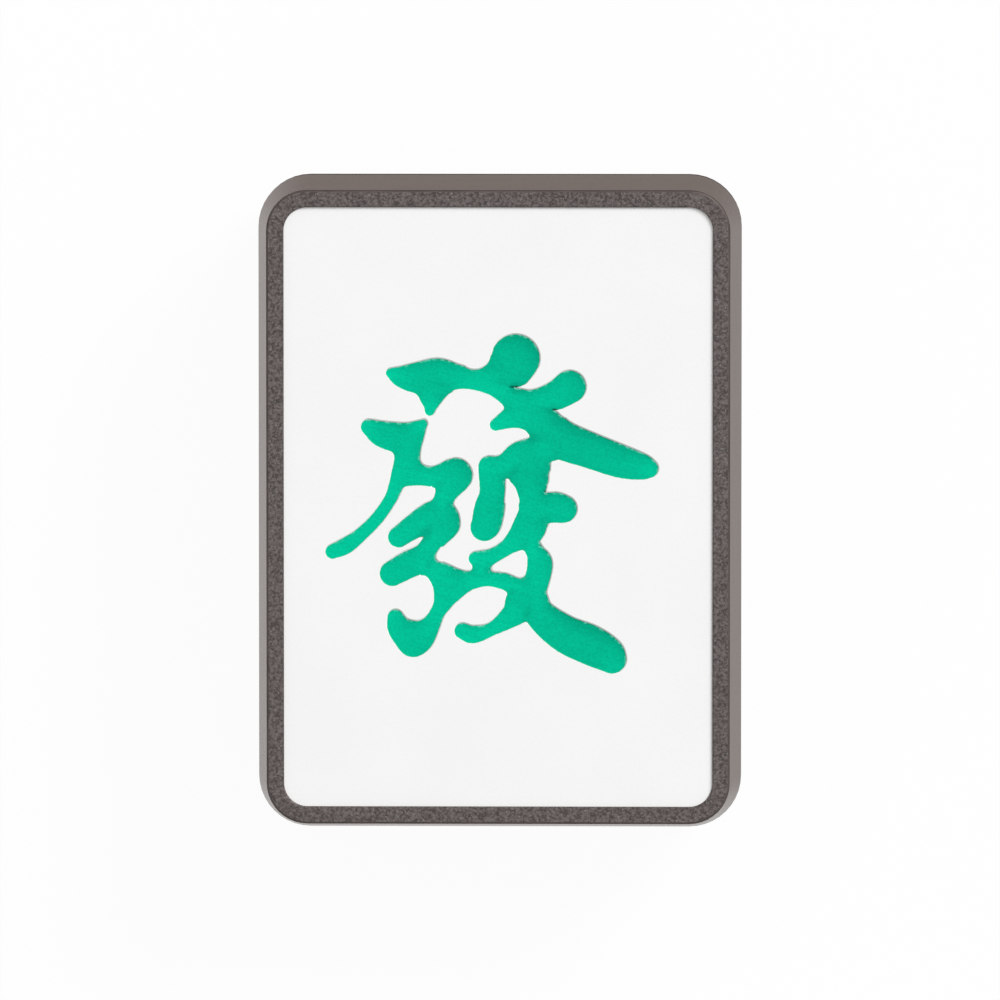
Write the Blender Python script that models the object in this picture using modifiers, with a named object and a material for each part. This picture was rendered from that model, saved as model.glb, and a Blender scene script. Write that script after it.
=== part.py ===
"""Metal-cased mahjong tile that slides open: two like halves held face to face by magnets.

Each half is modelled in its own frame. The origin is the middle of the parting gap, +Z points out through
the half's plate and +Y runs along the tile. The front half faces up. The rear half is the same build,
turned half a turn about the tile's length. Lengths are metres, written as millimetres times MM.
"""

import math

import bmesh
import bpy
from mathutils import Matrix, Vector

MM = 0.001

# Outside of the closed tile, measured across the parting edge, where it is widest
TILE_WIDTH = 31.2 * MM
TILE_LENGTH = 42.2 * MM
TILE_THICKNESS = 14.0 * MM
TILE_CORNER_RADIUS = 3.35 * MM
PARTING_GAP = 0.7 * MM

# Sides of a shell: a short upright land at the parting edge, then a flat side that leans in to the rim
SIDE_LAND = 0.35 * MM
SIDE_FLARE = 0.75 * MM
RIM_EDGE_BREAK = 0.12 * MM
PARTING_EDGE_BREAK = 0.2 * MM

# White plate let into the rim's window
RIM_WIDTH = 1.08 * MM
PLATE_RECESS = 0.2 * MM
PLATE_THICKNESS = 1.6 * MM
PLATE_EDGE_BREAK = 0.08 * MM
WINDOW_CHAMFER = 0.08 * MM
SEAT_GAP = 0.05 * MM

# Steel track plate, with a rail that runs in the other plate's groove
TRACK_WIDTH = 26.0 * MM
TRACK_LENGTH = 37.0 * MM
TRACK_CORNER_RADIUS = 2.6 * MM
TRACK_THICKNESS = 1.3 * MM
TRACK_EDGE_BREAK = 0.12 * MM
SLIDE_CLEARANCE = 0.1 * MM
RAIL_OFFSET = 1.5 * MM
RAIL_WIDTH = 1.2 * MM
RAIL_LENGTH = 33.0 * MM
RAIL_HEIGHT = 0.25 * MM
RAIL_EDGE_BREAK = 0.1 * MM
GROOVE_WIDTH = 1.5 * MM
GROOVE_DEPTH = 0.4 * MM

# Disc magnets behind the track plate; the pitch of their rows sets the clicks of the slide
MAGNET_RADIUS = 3.0 * MM
MAGNET_HEIGHT = 2.0 * MM
MAGNET_EDGE_BREAK = 0.15 * MM
MAGNET_COLUMNS = 2
MAGNET_ROWS = 4
MAGNET_COLUMN_PITCH = 12.0 * MM
MAGNET_ROW_PITCH = 8.0 * MM

# Countersunk socket screws that hold the track plate to the shell
SCREW_SPAN_X = 21.0 * MM
SCREW_SPAN_Y = 32.0 * MM
SCREW_HEAD_RADIUS = 1.5 * MM
SCREW_HEAD_LAND = 0.1 * MM
SCREW_SHANK_RADIUS = 0.8 * MM
SCREW_LENGTH = 4.1 * MM
SCREW_SINK = 0.1 * MM
SCREW_TIP_CHAMFER = 0.2 * MM
SCREW_HOLE_SPARE = 0.2 * MM
SOCKET_ACROSS_FLATS = 0.9 * MM
SOCKET_DEPTH = 0.6 * MM

CORNER_SEGMENTS = 10
RAIL_END_SEGMENTS = 4
ROUND_SEGMENTS = 24
SOCKET_SIDES = 6
CUT_THROUGH = 1.0 * MM
JOIN_OVERLAP = 0.4 * MM
MERGE_DISTANCE = 0.001 * MM
SMOOTH_BELOW = math.radians(30)

# Heights in a half's own frame, from the middle of the parting gap outwards
SHELL_FOOT = PARTING_GAP / 2
RIM_PLANE = TILE_THICKNESS / 2
PLATE_FACE = RIM_PLANE - PLATE_RECESS
PLATE_BACK = PLATE_FACE - PLATE_THICKNESS
PLATE_SEAT = PLATE_BACK - SEAT_GAP
TRACK_FACE = SLIDE_CLEARANCE / 2
TRACK_BACK = TRACK_FACE + TRACK_THICKNESS
TRACK_SEAT = TRACK_BACK + SEAT_GAP
MAGNET_BACK = TRACK_SEAT + MAGNET_HEIGHT
SCREW_HEAD_FACE = TRACK_FACE + SCREW_SINK
SCREW_CONE_START = SCREW_HEAD_FACE + SCREW_HEAD_LAND
SCREW_CONE_END = SCREW_CONE_START + SCREW_HEAD_RADIUS - SCREW_SHANK_RADIUS
SCREW_TIP = SCREW_HEAD_FACE + SCREW_LENGTH

# The rim's window follows the tile's outline, in from it by the flare and the rim
WINDOW_MARGIN = SIDE_FLARE + RIM_WIDTH
WINDOW_WIDTH = TILE_WIDTH - 2 * WINDOW_MARGIN
WINDOW_LENGTH = TILE_LENGTH - 2 * WINDOW_MARGIN
WINDOW_CORNER_RADIUS = TILE_CORNER_RADIUS - WINDOW_MARGIN


def clear_scene():
    for obj in list(bpy.data.objects):
        bpy.data.objects.remove(obj, do_unlink=True)


def add_collection(name, parent):
    collection = bpy.data.collections.new(name)
    parent.children.link(collection)
    return collection


def add_material(name, colour, roughness, metallic):
    material = bpy.data.materials.new(name)
    material.use_nodes = True
    shader = material.node_tree.nodes["Principled BSDF"]
    shader.inputs["Base Color"].default_value = (*colour, 1.0)
    shader.inputs["Roughness"].default_value = roughness
    shader.inputs["Metallic"].default_value = metallic
    return material


def mesh_of(bm, name):
    """The finished bmesh as mesh data, shaded smooth with its edges left crisp."""
    mesh = bpy.data.meshes.new(name)
    bm.to_mesh(mesh)
    bm.free()
    mesh.shade_smooth()
    mesh.set_sharp_from_angle(angle=SMOOTH_BELOW)
    return mesh


def add_object(name, mesh, collection, half, place=(0, 0, 0)):
    obj = bpy.data.objects.new(name, mesh)
    obj.parent = half
    obj.location = place
    collection.objects.link(obj)
    return obj


def add_piece(name, mesh, material, collection, half, place=(0, 0, 0)):
    piece = add_object(name, mesh, collection, half, place)
    if not mesh.materials:
        mesh.materials.append(material)
    return piece


def add_cutter(name, mesh, collection, half, place=(0, 0, 0)):
    cutter = add_object(name, mesh, collection, half, place)
    cutter.hide_render = True
    cutter.display_type = "WIRE"
    return cutter


def cut_with(piece, cutters):
    """Takes every object of a collection out of the piece."""
    cut = piece.modifiers.new("Cut " + cutters.name, "BOOLEAN")
    cut.operation = "DIFFERENCE"
    cut.operand_type = "COLLECTION"
    cut.collection = cutters
    cut.solver = "EXACT"


def join_with(piece, added):
    join = piece.modifiers.new("Join " + added.name, "BOOLEAN")
    join.operation = "UNION"
    join.object = added
    join.solver = "EXACT"


def top_face(bm):
    return max(bm.faces, key=lambda face: face.calc_center_median().z)


def bottom_face(bm):
    return min(bm.faces, key=lambda face: face.calc_center_median().z)


def break_edges(bm, edges, width, segments):
    bmesh.ops.bevel(bm, geom=list(edges), offset=width, segments=segments, profile=0.5, affect="EDGES")


def step_in(bm, face, inset, rise):
    """Raises a face along its normal and draws its outline in, leaving a sloped band round it."""
    bmesh.ops.inset_region(bm, faces=[face], use_even_offset=True, thickness=inset, depth=rise)


def rounded_slab(width, length, radius, low, high, segments=CORNER_SEGMENTS):
    """A slab between two heights whose four upright edges are rounded."""
    height = high - low
    place = Matrix.Translation((0, 0, (low + high) / 2)) @ Matrix.Diagonal((width, length, height, 1))
    bm = bmesh.new()
    bmesh.ops.create_cube(bm, size=1, matrix=place)
    upright = [edge for edge in bm.edges if abs(edge.verts[0].co.z - edge.verts[1].co.z) > height / 2]
    break_edges(bm, upright, radius, segments)
    return bm


def round_bar(radius, low, high, segments=ROUND_SEGMENTS):
    """A cylinder about Z between two heights."""
    middle = Matrix.Translation((0, 0, (low + high) / 2))
    bm = bmesh.new()
    bmesh.ops.create_cone(
        bm, cap_ends=True, segments=segments, radius1=radius, radius2=radius, depth=high - low, matrix=middle
    )
    return bm


def profile_mesh(name, profile):
    """An open line of (radius, height) points, from the top of a turned shape down to its bottom."""
    bm = bmesh.new()
    points = [bm.verts.new((radius, 0, height)) for radius, height in profile]
    for upper, lower in zip(points, points[1:]):
        bm.edges.new((upper, lower))
    mesh = bpy.data.meshes.new(name)
    bm.to_mesh(mesh)
    bm.free()
    return mesh


def turn_about_z(obj):
    turn = obj.modifiers.new("Turn", "SCREW")
    turn.axis = "Z"
    turn.angle = 2 * math.pi
    turn.steps = ROUND_SEGMENTS
    turn.render_steps = ROUND_SEGMENTS
    turn.use_merge_vertices = True
    turn.merge_threshold = MERGE_DISTANCE


def magnet_places():
    for column in range(MAGNET_COLUMNS):
        for row in range(MAGNET_ROWS):
            across = (column - (MAGNET_COLUMNS - 1) / 2) * MAGNET_COLUMN_PITCH
            along = (row - (MAGNET_ROWS - 1) / 2) * MAGNET_ROW_PITCH
            yield Vector((across, along, 0))


def screw_places():
    for side in (-1, 1):
        for end in (-1, 1):
            yield Vector((side * SCREW_SPAN_X / 2, end * SCREW_SPAN_Y / 2, 0))


def shell_blank():
    """The solid outside of a shell: the parting land, then flat sides that lean in to the rim."""
    bm = rounded_slab(TILE_WIDTH, TILE_LENGTH, TILE_CORNER_RADIUS, SHELL_FOOT, SHELL_FOOT + SIDE_LAND)
    rim = top_face(bm)
    step_in(bm, rim, SIDE_FLARE, RIM_PLANE - SHELL_FOOT - SIDE_LAND)
    break_edges(bm, rim.edges, RIM_EDGE_BREAK, 2)
    break_edges(bm, bottom_face(bm).edges, PARTING_EDGE_BREAK, 2)
    return mesh_of(bm, "shell")


def window_mesh():
    """The plate's seat, opened out into a small chamfer where it meets the rim."""
    spread = 2 * WINDOW_CHAMFER
    mouth = RIM_PLANE + WINDOW_CHAMFER
    bm = rounded_slab(
        WINDOW_WIDTH + 2 * spread, WINDOW_LENGTH + 2 * spread, WINDOW_CORNER_RADIUS + spread,
        mouth, mouth + CUT_THROUGH,
    )
    floor = bottom_face(bm)
    step_in(bm, floor, spread, spread)
    step_in(bm, floor, 0, mouth - spread - PLATE_SEAT)
    return mesh_of(bm, "window")


def track_seat_mesh():
    bm = rounded_slab(
        TRACK_WIDTH + 2 * SEAT_GAP, TRACK_LENGTH + 2 * SEAT_GAP, TRACK_CORNER_RADIUS + SEAT_GAP,
        SHELL_FOOT - CUT_THROUGH, TRACK_SEAT,
    )
    return mesh_of(bm, "track_seat")


def build_shell(name, half, material, parts, cutters):
    """A shell with its window, the track plate's seat, and the pockets for magnets and screws."""
    pockets = add_collection(name + "_pockets", cutters)
    add_cutter(name + "_window", window_mesh(), pockets, half)
    add_cutter(name + "_track_seat", track_seat_mesh(), pockets, half)
    mouth = TRACK_SEAT - JOIN_OVERLAP
    magnet_pocket = mesh_of(
        round_bar(MAGNET_RADIUS + SEAT_GAP, mouth, MAGNET_BACK + SEAT_GAP), "magnet_pocket"
    )
    for number, place in enumerate(magnet_places(), 1):
        add_cutter(f"{name}_magnet_pocket_{number}", magnet_pocket, pockets, half, place)
    screw_hole = mesh_of(
        round_bar(SCREW_SHANK_RADIUS + SEAT_GAP, mouth, SCREW_TIP + SCREW_HOLE_SPARE), "screw_hole"
    )
    for number, place in enumerate(screw_places(), 1):
        add_cutter(f"{name}_screw_hole_{number}", screw_hole, pockets, half, place)
    shell = add_piece(name, shell_blank(), material, parts, half)
    cut_with(shell, pockets)


def build_plate(name, half, material, parts):
    """The white plate, seated in the window with its outer edges broken."""
    bm = rounded_slab(
        WINDOW_WIDTH - 2 * SEAT_GAP, WINDOW_LENGTH - 2 * SEAT_GAP, WINDOW_CORNER_RADIUS - SEAT_GAP,
        PLATE_BACK, PLATE_FACE,
    )
    break_edges(bm, top_face(bm).edges, PLATE_EDGE_BREAK, 1)
    add_piece(name, mesh_of(bm, name), material, parts, half)


def rail_mesh():
    """A round-ended bar that stands out of the track plate's sliding face."""
    bm = rounded_slab(
        RAIL_WIDTH, RAIL_LENGTH, RAIL_WIDTH / 2 - RAIL_EDGE_BREAK,
        TRACK_FACE - RAIL_HEIGHT, TRACK_FACE + JOIN_OVERLAP, RAIL_END_SEGMENTS,
    )
    break_edges(bm, bottom_face(bm).edges, RAIL_EDGE_BREAK, 1)
    return mesh_of(bm, "rail")


def groove_mesh():
    groove = Matrix.Diagonal((GROOVE_WIDTH, TRACK_LENGTH + 2 * CUT_THROUGH, GROOVE_DEPTH + CUT_THROUGH, 1))
    middle = Matrix.Translation((0, 0, TRACK_FACE + (GROOVE_DEPTH - CUT_THROUGH) / 2))
    bm = bmesh.new()
    bmesh.ops.create_cube(bm, size=1, matrix=middle @ groove)
    return mesh_of(bm, "groove")


def countersink_mesh():
    head = SCREW_HEAD_RADIUS + SEAT_GAP
    shank = SCREW_SHANK_RADIUS + SEAT_GAP
    above = TRACK_BACK + CUT_THROUGH
    below = TRACK_FACE - CUT_THROUGH
    profile = [
        (0, above),
        (shank, above),
        (shank, SCREW_CONE_END),
        (head, SCREW_CONE_START),
        (head, below),
        (0, below),
    ]
    return profile_mesh("countersink", profile)


def build_track_plate(name, half, material, parts, cutters):
    """A track plate: its rail on one side of the middle, its groove on the other, screws at the corners."""
    rails = add_collection(name + "_rail", cutters)
    rail = add_cutter(name + "_rail_bar", rail_mesh(), rails, half, (RAIL_OFFSET, 0, 0))
    openings = add_collection(name + "_openings", cutters)
    add_cutter(name + "_groove", groove_mesh(), openings, half, (-RAIL_OFFSET, 0, 0))
    countersink = countersink_mesh()
    for number, place in enumerate(screw_places(), 1):
        turn_about_z(add_cutter(f"{name}_countersink_{number}", countersink, openings, half, place))
    bm = rounded_slab(TRACK_WIDTH, TRACK_LENGTH, TRACK_CORNER_RADIUS, TRACK_FACE, TRACK_BACK)
    break_edges(bm, bottom_face(bm).edges, TRACK_EDGE_BREAK, 1)
    plate = add_piece(name, mesh_of(bm, name), material, parts, half)
    join_with(plate, rail)
    cut_with(plate, openings)


def magnet_mesh():
    bm = round_bar(MAGNET_RADIUS, TRACK_SEAT, MAGNET_BACK)
    rims = list(top_face(bm).edges) + list(bottom_face(bm).edges)
    break_edges(bm, rims, MAGNET_EDGE_BREAK, 1)
    return mesh_of(bm, "magnet")


def screw_mesh(cutters):
    """One countersunk screw, turned from its profile, with a hexagon socket in its head."""
    profile = [
        (0, SCREW_TIP),
        (SCREW_SHANK_RADIUS - SCREW_TIP_CHAMFER, SCREW_TIP),
        (SCREW_SHANK_RADIUS, SCREW_TIP - SCREW_TIP_CHAMFER),
        (SCREW_SHANK_RADIUS, SCREW_CONE_END),
        (SCREW_HEAD_RADIUS, SCREW_CONE_START),
        (SCREW_HEAD_RADIUS, SCREW_HEAD_FACE),
        (0, SCREW_HEAD_FACE),
    ]
    sockets = add_collection("screw_socket", cutters)
    socket = round_bar(
        SOCKET_ACROSS_FLATS / math.sqrt(3), SCREW_HEAD_FACE - CUT_THROUGH, SCREW_HEAD_FACE + SOCKET_DEPTH,
        SOCKET_SIDES,
    )
    add_cutter("socket", mesh_of(socket, "socket"), sockets, None)
    pattern = add_object("screw_pattern", profile_mesh("screw_profile", profile), cutters, None)
    turn_about_z(pattern)
    cut_with(pattern, sockets)
    mesh = bpy.data.meshes.new_from_object(pattern.evaluated_get(bpy.context.evaluated_depsgraph_get()))
    mesh.name = "screw"
    mesh.shade_smooth()
    mesh.set_sharp_from_angle(angle=SMOOTH_BELOW)
    bpy.data.objects.remove(pattern)
    return mesh


def add_half(name, turn):
    """The empty that carries a half, at the middle of the parting gap, where the slide's axis runs."""
    half = bpy.data.objects.new(name, None)
    half.location = (0, 0, TILE_THICKNESS / 2)
    half.rotation_euler = (0, turn, 0)
    return half


def main():
    clear_scene()
    scene = bpy.context.scene.collection
    parts = add_collection("mahjong_tile_slider", scene)
    cutters = add_collection("cutters", scene)

    case_metal = add_material("blasted_case_metal", (0.135, 0.114, 0.11), 0.45, 1.0)
    white_resin = add_material("white_resin", (0.88, 0.88, 0.87), 0.5, 0.0)
    track_steel = add_material("track_steel", (0.5, 0.49, 0.47), 0.3, 1.0)
    nickel = add_material("nickel_plate", (0.66, 0.63, 0.58), 0.2, 1.0)
    screw_steel = add_material("screw_steel", (0.2, 0.2, 0.21), 0.35, 1.0)

    magnet = magnet_mesh()
    screw = screw_mesh(cutters)
    for side, plate, turn in (("front", "face_plate", 0), ("rear", "back_plate", math.pi)):
        half = add_half(side + "_half", turn)
        parts.objects.link(half)
        build_shell(side + "_shell", half, case_metal, parts, cutters)
        build_plate(plate, half, white_resin, parts)
        build_track_plate(side + "_track_plate", half, track_steel, parts, cutters)
        for number, place in enumerate(magnet_places(), 1):
            add_piece(f"{side}_magnet_{number}", magnet, nickel, parts, half, place)
        for number, place in enumerate(screw_places(), 1):
            add_piece(f"{side}_screw_{number}", screw, screw_steel, parts, half, place)


main()
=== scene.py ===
"""Looks of a metal-cased mahjong tile that slides open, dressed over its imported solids.

The tile lies on its back with its face up and its length along Y. The mark on its face is carved into
the white plate and painted green. Lengths are metres, written as millimetres times MM.
"""

import math

import bmesh
import bpy
import numpy as np
from bpy.props import FloatProperty, FloatVectorProperty, IntProperty, PointerProperty
from mathutils import Matrix, Vector


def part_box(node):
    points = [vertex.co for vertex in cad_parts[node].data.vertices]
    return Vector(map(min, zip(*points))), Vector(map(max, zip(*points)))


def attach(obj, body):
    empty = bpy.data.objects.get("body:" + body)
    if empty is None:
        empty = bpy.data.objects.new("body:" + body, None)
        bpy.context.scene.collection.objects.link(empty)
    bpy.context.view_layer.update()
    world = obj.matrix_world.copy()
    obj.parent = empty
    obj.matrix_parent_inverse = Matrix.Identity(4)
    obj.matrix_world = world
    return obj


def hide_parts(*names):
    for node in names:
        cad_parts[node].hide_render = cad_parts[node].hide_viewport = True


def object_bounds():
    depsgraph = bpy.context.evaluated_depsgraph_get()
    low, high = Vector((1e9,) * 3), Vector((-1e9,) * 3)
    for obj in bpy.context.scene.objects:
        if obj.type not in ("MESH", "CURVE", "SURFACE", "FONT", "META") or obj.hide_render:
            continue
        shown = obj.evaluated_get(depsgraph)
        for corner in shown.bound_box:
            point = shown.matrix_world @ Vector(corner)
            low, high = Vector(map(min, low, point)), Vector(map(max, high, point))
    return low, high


bl_info = {
    "name": "Mahjong Tile Slider",
    "version": (1, 0, 0),
    "blender": (4, 5, 0),
    "location": "3D View > Sidebar > Tile",
    "description": "Dresses a metal-cased mahjong tile and its two sliding halves",
    "category": "Add Mesh",
}

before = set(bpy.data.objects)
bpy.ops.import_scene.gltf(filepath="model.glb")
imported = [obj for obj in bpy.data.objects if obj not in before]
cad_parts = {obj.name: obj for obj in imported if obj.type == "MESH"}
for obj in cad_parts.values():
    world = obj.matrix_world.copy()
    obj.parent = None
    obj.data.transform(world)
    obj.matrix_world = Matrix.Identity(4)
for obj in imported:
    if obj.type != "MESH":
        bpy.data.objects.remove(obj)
CAD_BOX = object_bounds()

MM = 0.001
HALVES = ("front", "rear")
MAGNETS_IN_HALF = 8
SCREWS_IN_HALF = 4

# Shading and merging, and how squarely a flat face looks up or down
MERGE_DISTANCE = 0.002 * MM
CRISP_ANGLE = math.radians(18)
FLAT_FACING = 0.97

# Faces of a shell, told apart by where they lie
RIM_BAND = 0.2 * MM
RIM_FACING = 0.3
LAND_BAND = 0.5 * MM
OUTSIDE_MARGIN = 0.2 * MM

# Finishes of a shell's faces, in the order of its materials
BLASTED, SATIN, MILLED, DULL_AND_SHADE = range(4)

# The face plate fills its window to a hairline seam
PLATE_FILL = 0.04 * MM
PLATE_CORNER_RADIUS = 1.51 * MM
PLATE_EDGE_BREAK = 0.015 * MM
PLATE_CORNER_SEGMENTS = 16

# The field of the face that holds the mark, from the middle of the plate
FIELD_LOW = Vector((-11.6 * MM, -11.2 * MM))
FIELD_HIGH = Vector((10.8 * MM, 11.6 * MM))

# How far inside and outside the mark's edge the field's cells are halved, each time
CELL_REACHES = ((3.0 * MM, 0.4 * MM), (0.2 * MM, 0.22 * MM))

# Middle of the mark, from the middle of the plate
MARK_OFFSET = Vector((0.03 * MM, 0.05 * MM))

# Rings of the carved field, told apart by how many cells inside the top of the wall a vertex lies
OUTSIDE, EDGE, LIP, FLOOR = range(4)
EDGE_REACH = 0.5
FLOOR_REACH = 1.5

# How the vertices of a ring are moved onto its line, with reaches in cells
SLOPE_REACH = 4
SNAP_LIMIT = 0.8
SNAP_STEPS = 5
SLOPE_STEP = 0.004 * MM
LEAST_SLOPE = 0.3

# Steps between two points of a stroke, how far round it a stroke counts, and what keeps sums from zero
LINE_STEPS = 8
STROKE_REACH = 2.2 * MM
LEAST_RUN = 1e-18
LEAST_WEIGHT = 1e-30

# Brush lines of the mark: x, y and half-width in millimetres, from the middle of the plate
MARK_LINES = {
    "wing": (
        (-6.9, 8.6, 0.30), (-6.15, 8.35, 0.68), (-5.1, 8.3, 0.99), (-3.9, 8.48, 1.05), (-2.8, 8.38, 0.81),
        (-1.5, 8.25, 0.53),
    ),
    "wing_tip": ((-4.1, 7.62, 1.1), (-4.26, 7.15, 0.8), (-4.33, 6.6, 0.46), (-4.39, 6.2, 0.32)),
    "ball": ((-1.8, 8.24, 0.54), (-0.75, 8.2, 0.72), (0.15, 8.7, 1.2), (0.8, 8.9, 1.33), (1.1, 9.54, 1.55)),
    "long_right": (
        (-1.5, 8.28, 0.53), (-0.3, 7.75, 0.58), (0.8, 7.2, 0.81), (2.18, 5.98, 1.0), (3.24, 5.04, 1.17),
        (4.15, 4.3, 1.23), (5.9, 3.63, 1.13), (7.8, 2.95, 1.05), (9.1, 2.62, 0.84), (9.66, 2.48, 0.59),
    ),
    "right_dab": ((1.7, 6.4, 0.97), (2.8, 6.82, 0.85), (3.8, 7.23, 0.94), (4.56, 7.72, 1.05)),
    "left_dab": ((1.7, 5.9, 0.80), (0.8, 5.73, 0.64), (-0.18, 5.28, 0.37)),
    "drop_top": (
        (2.8, 3.7, 0.75), (2.1, 3.4, 0.99), (1.3, 3.3, 0.85), (0.6, 2.75, 0.77), (-0.3, 2.35, 0.67),
    ),
    "drop": (
        (-0.62, 2.61, 0.64), (-0.42, 1.7, 0.79), (-0.4, 0.8, 0.81), (-0.57, -0.1, 0.96), (-0.75, -1.0, 0.95),
        (-0.9, -1.3, 0.88),
    ),
    "trunk": (
        (3.0, 3.8, 0.87), (2.1, 2.5, 1.18), (2.0, 1.7, 1.2), (2.1, 1.1, 1.0), (2.2, 0.4, 0.88),
        (2.22, -0.4, 0.87), (1.7, -1.57, 0.88), (0.58, -2.57, 0.5), (-0.7, -3.3, 0.47), (-1.5, -3.3, 0.39),
    ),
    "mid_dab": ((2.4, 0.0, 0.93), (3.6, -0.02, 0.97), (4.16, -0.12, 0.88)),
    "lower_right": (
        (2.1, -1.2, 0.99), (2.05, -2.2, 0.56), (2.42, -3.0, 0.60), (2.66, -3.6, 0.79), (2.55, -4.5, 0.77),
        (2.37, -5.4, 0.68), (2.48, -6.1, 0.74), (2.77, -7.0, 0.97), (4.27, -8.16, 1.18), (5.8, -8.83, 1.27),
        (6.9, -9.4, 1.13), (7.3, -9.78, 0.91),
    ),
    "hook": (
        (2.0, -5.4, 0.87), (1.48, -6.08, 0.98), (1.25, -6.5, 0.87), (1.0, -6.88, 0.76), (-0.38, -7.83, 0.43),
        (-1.6, -8.2, 0.56), (-2.3, -7.98, 0.51),
    ),
    "band": (
        (-4.12, -3.98, 0.54), (-2.85, -4.81, 0.85), (-1.8, -4.76, 0.50), (-0.7, -4.65, 0.43),
        (0.35, -4.78, 0.52), (1.15, -5.14, 0.53), (1.8, -5.5, 0.69),
    ),
    "link": ((-1.0, -3.4, 0.50), (-1.12, -4.2, 0.54)),
    "top_left": ((-8.32, 5.13, 0.49), (-7.3, 4.63, 0.85), (-5.9, 4.5, 0.90), (-4.83, 5.33, 0.28)),
    "trunk_left": ((-5.74, 4.2, 0.78), (-5.84, 3.4, 0.80), (-5.88, 2.2, 0.72)),
    "fall": (
        (-5.88, 2.5, 0.70), (-6.4, 1.8, 0.49), (-6.9, 0.55, 0.40), (-7.79, -0.75, 0.40), (-8.88, -1.83, 0.43),
        (-9.8, -2.51, 0.52), (-10.64, -2.88, 0.45),
    ),
    "bar": ((-5.9, 2.22, 0.76), (-4.3, 1.95, 0.63), (-2.76, 2.09, 1.03)),
    "down": ((-2.8, 1.9, 0.96), (-3.58, 0.3, 0.6), (-3.6, -1.0, 0.97)),
    "upper_dab": ((-3.6, -0.65, 0.97), (-4.3, -0.62, 0.92), (-5.22, -1.12, 0.79), (-6.42, -1.94, 0.65)),
    "middle_left": ((-3.55, -1.15, 1.00), (-4.06, -2.1, 0.67), (-4.89, -3.1, 0.52), (-4.85, -3.75, 0.55)),
    "lower_dab": ((-4.7, -3.2, 0.68), (-5.7, -3.68, 0.85), (-6.8, -4.28, 0.80)),
    "leg": (
        (-4.06, -4.1, 0.46), (-3.45, -5.1, 0.69), (-3.5, -6.0, 0.60), (-3.91, -6.8, 0.47),
        (-4.41, -7.7, 0.61), (-4.95, -8.4, 0.80), (-5.45, -8.58, 0.97),
    ),
    "hump": ((-3.9, -4.2, 0.45), (-3.4, -4.25, 0.4)),
    "web": ((-3.35, -5.6, 0.6), (-2.95, -5.55, 0.55), (-2.4, -4.95, 0.5), (-1.7, -4.7, 0.42)),
    "heel": ((-5.65, -8.15, 0.74), (-5.0, -8.15, 0.74)),
    "foot": ((-5.46, -8.59, 0.97), (-6.33, -7.83, 0.75), (-6.61, -7.1, 0.50)),
}

# Sharp white spurs that the cutter leaves between strokes, and the creases where it turned at their tips
MARK_SPURS = {
    "ball_neck": ((-1.53, 9.85, 1.04), (-1.6, 10.2, 1.04)),
    "under_wing": ((-3.17, 6.05, 0.8), (-2.8, 6.5, 0.81), (-2.56, 6.67, 0.82), (-2.2, 6.8, 0.8)),
    "under_ball": ((1.1, 7.68, 0.01), (1.5, 7.68, 0.1), (1.95, 7.75, 0.24), (2.3, 7.9, 0.33)),
    "under_right_dab": ((3.6, 6.22, 0.01), (3.88, 6.15, 0.12), (4.3, 6.04, 0.33)),
    "slot": ((0.51, 1.82, 0.02), (0.55, 1.68, 0.11), (0.77, 1.1, 0.35), (0.86, 0.4, 0.5)),
    "above_mid_dab": ((3.03, 0.92, 0.01), (3.56, 1.38, 0.44)),
    "under_mid_dab": ((2.71, -2.5, 0.01), (3.25, -2.27, 0.3)),
    "under_long_right": ((3.57, 2.74, 0.24), (3.8, 2.3, 0.5)),
    "left_bay": ((-3.58, -2.78, 0.24), (-3.71, -3.21, 0.33), (-3.33, -3.15, 0.4)),
}
MARK_CREASES = {
    "under_ball": ((1.25, 7.66, 0.12), (1.0, 7.67, 0.11), (0.68, 7.7, 0.03)),
    "under_right_dab": ((3.72, 6.21, 0.1), (3.56, 6.22, 0.08), (3.4, 6.24, 0.03)),
    "above_mid_dab": ((3.15, 0.93, 0.1), (3.02, 0.95, 0.08), (2.9, 1.0, 0.03)),
    "under_mid_dab": ((2.8, -2.5, 0.09), (2.68, -2.51, 0.07), (2.56, -2.52, 0.03)),
}

# What the paint goes by, kept on the vertices of the carving: its edge, painted shading and painted
# highlights
MARK_LAYERS = ("bare", "painted_shading", "painted_highlight")

# The paint lies a little to the lower left of the carving
PAINT_OFFSET = np.array((-0.02, -0.03)) * MM

# Its edge is ragged and stained: the widths here are in millimetres
PAINT_EDGE = 0.01
PAINT_FADE = 0.01
PAINT_RAGGED = 0.04
STAIN_WIDTH = 0.035
STAIN_SHARE = 0.55

# Where strokes crowd together, found from a ring of places round each vertex
CROWD_REACH = 0.55 * MM
CROWD_EDGE = 0.4 * MM
CROWD_PLACES = 16

# Painted shade and light in the paint's colour: darker along the walls and most under the upper walls, away
# from the lamp, darker where strokes crowd and in creases, and paler where strokes are thin
THIN_PAINTED_LIGHT = 1.2
THIN_HALF = 0.4 * MM
BROAD_HALF = 1.2 * MM
WALL_SHADE = 0.08
UPPER_SHADE = 0.16
THIN_SHADE = 0.3
CROWD_PAINTED_SHADE = 0.76
CROWD_RANGE = (0.05, 0.45)
CREASE_PAINTED_SHADE = 0.2
CREASE_RANGE = (0.0, 0.7)

# Painted highlights on the paint under the upper walls lie this far inside the mark's edge
HIGHLIGHT_PLACE = 0.08 * MM
HIGHLIGHT_WIDTH = 0.06 * MM

# The floor's reach from the middle, and how far it lies under the tile
FLOOR_HALF = 3.0
FLOOR_DROP = 0.1 * MM

# Sockets of a Mix node that mixes colours, which have the same names as its other sockets
MIX_SHARE, MIX_FIRST, MIX_SECOND, MIX_RESULT = 0, 6, 7, 2


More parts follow.
